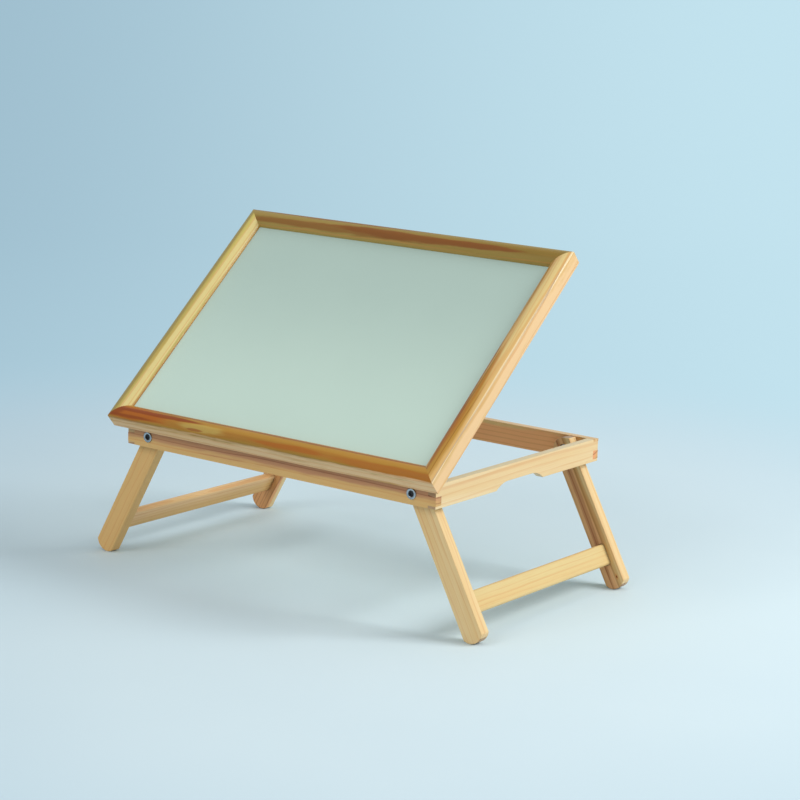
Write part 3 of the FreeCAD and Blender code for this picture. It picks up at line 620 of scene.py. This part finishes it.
legFace = halfDepth - ring["rail"] - leg["sideGap"]
for sideX, side in ((-1, "left"), (1, "right")):
    lean = turn(-splay * sideX, "Y")
    for sideY, end in ((-1, "front"), (1, "back")):
        place = ringPlace @ shift(pivotX * sideX, legFace * sideY, pivotZ) @ lean @ standing(sideY)
        material = makePine(f"pine {side} {end} leg", **legLook[f"{side}_{end}"])
        node, body = f"{side}_{end}_leg", f"{side}_legs"
        addPiece(makeLeg(sideX), f"{node}_board", body, node, place, material, downLeg)
    place = ringPlace @ shift(pivotX * sideX, 0, pivotZ) @ lean @ standing(1)
    material = makePine(f"pine {side} stretcher", **stretcherLook[side])
    node, body = f"{side}_stretcher", f"{side}_legs"
    addPiece(makeStretcher(), f"{node}_bar", body, node, place, material, alongZ)
print("legs and stretchers")


# The tray has a domed moulding on each side, mitred at the corners, and a white laminate panel.
panel = dict(top=17, thickness=3.2, groove=6, gap=0.5, edge=0.15)
outerFace = ((0, -2, 10), (900, 3.4, 17), "peach", 0.85)
mouldingLook = dict(
    front=dict(
        seed=11, spacing=8, middle=(10, -40), late=0.5, warm=0.7, streak=0.7, tones=("gold", "olive"),
        patches=[
            ((-40, 6, 26), (900, 6, 9), "amber", 0.3),
            ((-235, 9, 26), (75, 14, 9), "amber", 0.95),
            ((-105, 8, 26), (50, 7, 8), "straw", 0.4),
            ((40, 6, 26), (80, 4, 8), "amber", 0.7),
            ((205, 5, 25), (110, 6, 8), "amber", 0.5),
            ((-190, 14, 27.5), (100, 4, 5), "heart", 0.95),
            ((-240, 4, 24), (70, 3, 6), "heart", 0.8),
            ((-268, 10, 26), (22, 12, 9), "heart", 0.8),
            ((-118, 4, 24), (18, 2, 5), "heart", 0.7),
            ((60, 21, 26), (330, 2.4, 5), "heart", 0.7),
            outerFace,
        ],
    ),
    back=dict(
        seed=12, spacing=9, middle=(10, -40), late=0.4, warm=0.9, streak=0.6, tones=("moss", "olive"),
        patches=[
            ((110, 18, 25), (170, 6, 9), "brown", 0.7),
            ((-20, 15, 26), (150, 7, 9), "brown", 0.95),
            ((-95, 15, 26), (110, 4, 9), "brown", 0.9),
            ((60, 3, 23), (260, 3, 5), "brown", 0.7),
            outerFace,
        ],
    ),
    left=dict(
        seed=13, spacing=7, middle=(-8, 60), late=0.2, warm=0.6, tones=("straw", "moss"),
        patches=[
            # The moss band and the brown rim darken the outer slope: painted shade where the crown turns away
            # from the light.
            ((0, 6, 24), (900, 6, 9), "moss", 0.8),
            ((0, -1, 19), (900, 4, 9), "brown", 0.8),
            # The cream band along the inner slope is a painted highlight.
            ((0, 21, 26), (900, 6, 9), "cream", 0.8),
            ((0, 27.5, 18), (900, 3, 4), "amber", 0.5),
        ],
    ),
    right=dict(
        seed=14, spacing=8, middle=(40, 30), late=0.35, warm=0.8, tones=("tan", "warm"),
        patches=[
            ((-120, 14, 26), (170, 10, 9), "gold", 0.9),
            ((120, 20, 25), (160, 4, 8), "gold", 0.6),
            ((-130, 17, 25), (70, 5, 8), "amber", 0.6),
            # The brown band along the inner edge is partly painted shade, where the slope turns away, and
            # partly darker heartwood.
            ((0, 27, 20), (900, 4.5, 7), "brown", 0.8),
            ((-40, 22, 22), (110, 5, 9), "heart", 0.7),
            ((-30, 12, 27), (120, 2.5, 6), "amber", 0.4),
            ((110, 9, 26), (170, 5, 6), "cream", 0.6),
            outerFace,
            # The thin bone line along the outer arris is a painted highlight.
            ((0, 0.5, 25), (900, 1.4, 3), "bone", 0.9),
        ],
    ),
)


def crownShape():
    # The crown's centre and its sweep from the lip to the shoulder, then the height and sweep of the round
    # edge that follows.
    width, crown, edge = tray["width"], tray["crown"], tray["edge"]
    centreZ = tray["height"] - crown
    rise = tray["lip"] - centreZ
    centreY = width - math.sqrt(crown**2 - rise**2)
    edgeZ = centreZ + math.sqrt((crown - edge) ** 2 - (centreY - edge) ** 2)
    shoulder = math.degrees(math.atan2(edgeZ - centreZ, edge - centreY))
    return centreY, centreZ, shoulder - math.degrees(math.asin(rise / crown)), edgeZ, 180 - shoulder


def makeMoulding(length):
    mesh = bmesh.new()
    width, edge = tray["width"], tray["edge"]
    top, bottom, grooveEnd = panel["top"], panel["top"] - panel["thickness"], width - panel["groove"]
    centreY, centreZ, sweep, edgeZ, edgeSweep = crownShape()
    pen = Pen(mesh, edge, 0).line((width, 0), (width, bottom))
    pen.line((grooveEnd, bottom), (grooveEnd, top), (width, top))
    pen.line((width, tray["lip"])).arc(centreY, centreZ, sweep, 22).arc(edge, edgeZ, edgeSweep, 5)
    pen.line((0, edge)).arc(edge, edge, 90, 5)
    thicken(mesh, pen.close(), length)
    layAcross(mesh, length)
    for side in (-1, 1):
        made = bmesh.ops.bisect_plane(
            mesh,
            geom=mesh.verts[:] + mesh.edges[:] + mesh.faces[:],
            plane_co=(side * length / 2, 0, 0),
            plane_no=(side, 1, 0),
            clear_outer=True,
        )
        cutEdges = [item for item in made["geom_cut"] if isinstance(item, bmesh.types.BMEdge)]
        bmesh.ops.contextual_create(mesh, geom=cutEdges)
    return mesh


halfTray = tray["length"] / 2
for side, length, x, y, angle in (
    ("front", tray["length"], 0, 0, 0),
    ("back", tray["length"], 0, tray["depth"], 180),
    ("left", tray["depth"], -halfTray, tray["depth"] / 2, -90),
    ("right", tray["depth"], halfTray, tray["depth"] / 2, 90),
):
    mesh = makeMoulding(length)
    material = makePine(f"pine {side} moulding", **mouldingLook[side])
    place = trayPlace @ shift(x, y) @ turn(angle, "Z")
    node = f"{side}_moulding"
    addPiece(mesh, f"{node}_board", "tray", node, place, material, alongX, smooth=30)


def boxMesh(low, high, edge):
    mesh = bmesh.new()
    size = [high[axis] - low[axis] for axis in range(3)]
    centre = [(high[axis] + low[axis]) / 2 for axis in range(3)]
    bmesh.ops.create_cube(mesh, size=1, matrix=Matrix.Translation(centre) @ Matrix.Diagonal((*size, 1)))
    roundEdges(mesh, edge)
    return mesh


laminateLook = dict(
    light=paint(199, 223, 212), shade=paint(174, 198, 190), shadeStart=0.24, shadeEnd=0.42, rough=0.36
)


def makeLaminate():
    # The photo shows the sheet darker towards its top, so a painted shade follows the height: it stands in
    # for the light falling off up the sheet.
    recipe = Recipe("white laminate")
    place = recipe.place()
    cloud = recipe.noise(place, (9, 9, 9), 3)
    grit = recipe.noise(place, (900, 900, 900))
    height = recipe.part(place, 2)
    shade = height.between(laminateLook["shadeStart"], laminateLook["shadeEnd"]) * 0.8 + cloud * 0.2
    return recipe.finish(
        Base_Color=recipe.blend(shade, laminateLook["light"], laminateLook["shade"]),
        Roughness=laminateLook["rough"] + cloud * 0.08,
        Normal=recipe.bump(grit, 0.05, 0.15),
        Coat_Weight=0.15,
        Coat_Roughness=0.3,
    )


inset = tray["width"] - panel["groove"] + panel["gap"]
panelBottom = panel["top"] - panel["thickness"]
mesh = boxMesh(
    (-halfTray + inset, inset, panelBottom),
    (halfTray - inset, tray["depth"] - inset, panel["top"]),
    panel["edge"],
)
addPiece(mesh, "tray_panel_sheet", "tray", "tray_panel", trayPlace, makeLaminate())
print("tray")


# These hold the tray up: the prop board, the rack that it stands in and the batten that it hangs from.
batten = dict(width=40, edge=0.8)
propLook = dict(
    board=dict(seed=15, spacing=6, middle=(10, 30), late=0.45, warm=0.6),
    rack=dict(seed=16, spacing=7, middle=(30, -30), late=0.5, warm=0.7),
    batten=dict(seed=17, spacing=7, middle=(30, 30), late=0.5, warm=0.6),
)
propPine = makePine("pine prop", **propLook["board"])
rackPine = makePine("pine rack", **propLook["rack"])
battenPine = makePine("pine batten", **propLook["batten"])


def makeProp():
    mesh = bmesh.new()
    top = -prop["leaf"] / 2
    bottom = top - prop["thickness"]
    start, chamfer, end = hinge["knuckle"] + prop["hingeGap"], prop["chamfer"], prop["length"]
    pen = Pen(mesh, start + chamfer, bottom).line((end, bottom)).arc(end, (top + bottom) / 2, 180, 14)
    pen.line((start, top), (start, bottom + chamfer))
    thicken(mesh, pen.close(), prop["width"])
    roundEdges(mesh, prop["edge"])
    layAcross(mesh, prop["width"])
    return mesh


def makeRack():
    mesh = bmesh.new()
    end = halfDepth - ring["rail"] + rack["housed"]
    front, back = -end - hingeY, end - hingeY
    half = rack["grooveWidth"] / 2
    pen = Pen(mesh, front, -rack["height"]).line((back, -rack["height"]), (back, 0))
    for number in reversed(range(rack["grooves"])):
        y = rack["start"] + number * rack["pitch"]
        pen.line((y + half, 0), (y, -rack["grooveDepth"]), (y - half, 0))
    pen.line((front, 0))
    thicken(mesh, pen.close(), rack["width"])
    roundEdges(mesh, rack["edge"])
    layAcross(mesh, rack["width"])
    return mesh


addPiece(makeProp(), "prop_board_wood", "prop", "prop_board", propPlace, propPine, alongY)
rackTop = hingeZ - prop["thickness"] / 2 - rack["footGap"]
rackPlace = ringPlace @ shift(y=hingeY, z=rackTop)
addPiece(makeRack(), "prop_rack_bar", "base", "prop_rack", rackPlace, rackPine, alongY)
battenBack = tray["overhang"] + prop["length"] - hinge["knuckle"] - prop["hingeGap"]
battenLow = pinHeight - hinge["closedHalf"] + prop["leaf"] / 2
battenHalf = halfTray - tray["width"]
mesh = boxMesh(
    (-battenHalf, battenBack - batten["width"], battenLow),
    (battenHalf, battenBack, panelBottom),
    batten["edge"],
)
addPiece(mesh, "prop_batten_wood", "tray", "prop_batten", trayPlace, battenPine, alongX)
print("prop and rack")


def makeMetal(name, colour, rough, wear):
    # The "socket" attribute marks the dish and the hex socket of a nut: a painted shade darkens the plating
    # there, which is also rougher.
    recipe = Recipe(name)
    socket = recipe.value("socket")
    smear = recipe.noise(recipe.place(), (260, 260, 260), 3)
    worn = paint(*(value * 0.8 for value in colour))
    tone = recipe.blend(smear.between(0.35, 0.7) * wear, paint(*colour), worn)
    tone = recipe.blend(socket * 0.9, tone, paint(24, 18, 17))
    return recipe.finish(Base_Color=tone, Metallic=1.0, Roughness=rough + smear * 0.1 + socket * 0.3)


chrome = makeMetal("bright plated nut", (180, 188, 194), 0.12, 0.5)
boltSteel = makeMetal("zinc plated bolt", (176, 178, 180), 0.3, 0.6)
hingeSteel = makeMetal("plated hinge", (190, 190, 188), 0.28, 0.6)


nut = dict(
    radius=7.3, height=2, edge=0.9, dish=4.4, dishDepth=0.5,
    socket=5.2, socketTop=0.8, socketDepth=1.85, sleeve=4, sleeveLength=8,
)


def makeNut(place):
    # The profile is spun about z. The rim is rounded and a shallow dish leads to the hex socket.
    mesh = bmesh.new()
    top, radius, edge, sleeve = nut["height"], nut["radius"], nut["edge"], nut["sleeve"]
    dish, dishDepth = nut["dish"], nut["dishDepth"]
    pen = Pen(mesh, dish, top - dishDepth).line((dish + dishDepth, top), (radius - edge, top))
    pen.arc(radius - edge, top - edge, -90, 5)
    pen.line((radius, 0), (sleeve, 0), (sleeve, -nut["sleeveLength"]))
    bmesh.ops.rotate(mesh, verts=mesh.verts[:], cent=(0, 0, 0), matrix=turn(90, "X").to_3x3())
    bmesh.ops.spin(
        mesh, geom=mesh.verts[:] + mesh.edges[:], cent=(0, 0, 0), axis=(0, 0, 1),
        angle=math.radians(360), steps=48, use_merge=True,
    )
    bmesh.ops.remove_doubles(mesh, verts=mesh.verts[:], dist=weld)
    rim = [edge for edge in mesh.edges if edge.is_boundary and all(vert.co.z > 0 for vert in edge.verts)]
    corner = nut["socket"] / math.sqrt(3)
    hexagon = circleEdges(mesh, 0, 0, top - nut["socketTop"], corner, 6)
    bmesh.ops.bridge_loops(mesh, edges=rim + hexagon)
    deepen(mesh, hexagon, nut["socketDepth"] - nut["socketTop"])
    bottom = [edge for edge in mesh.edges if edge.is_boundary]
    bmesh.ops.contextual_create(mesh, geom=bottom)
    bmesh.ops.recalc_face_normals(mesh, faces=mesh.faces[:])
    # faces inside the dish get the painted shade of the recess
    inside = mesh.faces.layers.float.new("socket")
    for face in mesh.faces:
        centre = face.calc_center_median()
        face[inside] = float(centre.z > 0 and math.hypot(centre.x, centre.y) < dish)
    bmesh.ops.transform(mesh, matrix=place, verts=mesh.verts[:])
    return mesh


nuts = bmesh.new()
for sideX, angle in ((-1, 6), (1, 28)):  # the angle turns the hex socket
    for sideY in (-1, 1):
        pivot = Matrix.Translation((pivotX * sideX, halfDepth * sideY, pivotZ))
        one = makeNut(pivot @ turn(-90 * sideY, "X") @ turn(angle, "Z"))
        part = bpy.data.meshes.new("nut")
        one.to_mesh(part)
        one.free()
        nuts.from_mesh(part)
        bpy.data.meshes.remove(part)
addPiece(nuts, "pivot_nut_heads", "base", "pivot_sleeve_nuts", ringPlace, chrome, smooth=50)

for node, material in (
    ("pivot_bolts", boltSteel),
    ("pivot_washers", boltSteel),
    ("left_hinge_rail_leaf", hingeSteel),
    ("right_hinge_rail_leaf", hingeSteel),
    ("left_hinge_tray_leaf", hingeSteel),
    ("right_hinge_tray_leaf", hingeSteel),
    ("prop_hinge_batten_leaf", hingeSteel),
    ("prop_hinge_board_leaf", hingeSteel),
    ("left_hinge_pin", boltSteel),
    ("right_hinge_pin", boltSteel),
    ("prop_hinge_pin", boltSteel),
    ("hinge_rail_screws", boltSteel),
    ("hinge_tray_screws", boltSteel),
    ("prop_hinge_batten_screws", boltSteel),
    ("prop_hinge_board_screws", boltSteel),
):
    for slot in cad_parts[node].material_slots:
        slot.material = material
print("metal")


# Backdrop and light, in metres.
studio = dict(
    floor=paint(208, 226, 234),
    cloud=paint(200, 220, 230),
    floorLeft=paint(184, 206, 218),
    farLeft=paint(156, 188, 205),
    farRight=paint(197, 230, 242),
    nearLeft=paint(186, 210, 224),
    nearRight=paint(206, 228, 239),
    wallGlow=0.92,
    aim=(0, 0, 0.25),
    size=9.0,
    height=7.2,
    back=3.2,
    bend=1.4,
    world=(1, 0.99, 0.97, 1),
    worldStrength=0.6,
)


def makeBackdrop():
    # Far from the object it glows for the camera and for reflections. Near the object it takes its shadow.
    # The paper and the glow are painted darker towards the left, a painted shade of the light from the right.
    recipe = Recipe("pale backdrop")
    place = recipe.place()
    cloud = recipe.noise(place, (1.3, 1.3, 1.3), 3)
    azimuth = math.radians(view["azimuth"])
    rightwards = (math.cos(azimuth), math.sin(azimuth), 0)
    across = recipe.vector("DOT_PRODUCT", place, rightwards, out="Value")
    away = recipe.vector("LENGTH", place, out="Value")
    colour = recipe.blend(cloud.between(0.3, 0.7) * 0.6, studio["floor"], studio["cloud"])
    colour = recipe.blend(1 - across.between(-1.0, -0.1), colour, studio["floorLeft"])
    paper = recipe.add("ShaderNodeBsdfPrincipled", None, {"Base Color": colour, "Roughness": 0.75})
    nearby = recipe.blend(across.between(-1.0, 1.0), studio["nearLeft"], studio["nearRight"])
    wall = recipe.blend(across.between(-1.9, 1.5), studio["farLeft"], studio["farRight"])
    shown = recipe.blend(away.between(0.5, 1.7), nearby, wall)
    glow = recipe.add("ShaderNodeEmission", None, {"Color": shown, "Strength": 1.0})
    kinds = ("Camera", "Glossy", "Transmission")
    camera, glossy, clear = (recipe.add("ShaderNodeLightPath", out=f"Is {kind} Ray") for kind in kinds)
    factor = (camera + glossy + clear) * away.between(0.45, 1.5) * studio["wallGlow"]
    mixed = recipe.add("ShaderNodeMixShader", None, {0: factor, 1: paper, 2: glow})
    recipe.add("ShaderNodeOutputMaterial", None, {"Surface": mixed})
    return recipe.material


def makeStudio():
    mesh = bmesh.new()
    size, height, back, bend = (studio[key] / mm for key in ("size", "height", "back", "bend"))
    pen = Pen(mesh, -size, 0).line((back, 0)).arc(back, bend, 90, 24)
    pen.line((back + bend, height))
    made = bmesh.ops.extrude_edge_only(mesh, edges=mesh.edges[:])
    bmesh.ops.translate(mesh, verts=vertsOf(made), vec=(0, 0, 2 * size))
    bmesh.ops.translate(mesh, verts=mesh.verts[:], vec=(0, 0, -size))
    # the wall stands behind the object, square to the camera
    toBack = turn(90 + view["azimuth"], "Z") @ turn(90, "X")
    bmesh.ops.transform(mesh, matrix=toBack @ Matrix.Scale(mm, 4), verts=mesh.verts[:])
    bmesh.ops.recalc_face_normals(mesh, faces=mesh.faces[:])
    data = bpy.data.meshes.new("backdrop")
    mesh.to_mesh(data)
    mesh.free()
    backdrop = bpy.data.objects.new("backdrop", data)
    bpy.context.scene.collection.objects.link(backdrop)
    data.polygons.foreach_set("use_smooth", [True] * len(data.polygons))
    data.materials.append(makeBackdrop())


def addLamp(name, at, size, power, colour):
    lamp = bpy.data.lights.new(name, "AREA")
    lamp.shape = "RECTANGLE"
    lamp.size, lamp.size_y = size
    lamp.energy = power
    lamp.color = colour
    holder = bpy.data.objects.new(name, lamp)
    bpy.context.scene.collection.objects.link(holder)
    holder.location = at
    holder.rotation_euler = (Vector(studio["aim"]) - Vector(at)).to_track_quat("-Z", "Y").to_euler()


makeStudio()
addLamp("key", at=(2.5, 1.2, 2.2), size=(1.6, 1.6), power=80, colour=(1.0, 0.99, 0.97))
addLamp("front fill", at=(-0.6, -3.2, 2.6), size=(2.4, 1.8), power=38, colour=(1.0, 0.975, 0.93))

world = bpy.data.worlds.new("studio")
bpy.context.scene.world = world
world.use_nodes = True
background = world.node_tree.nodes["Background"]
background.inputs["Color"].default_value = studio["world"]
background.inputs["Strength"].default_value = studio["worldStrength"]

bpy.context.scene.view_settings.view_transform = "Standard"
print("studio")
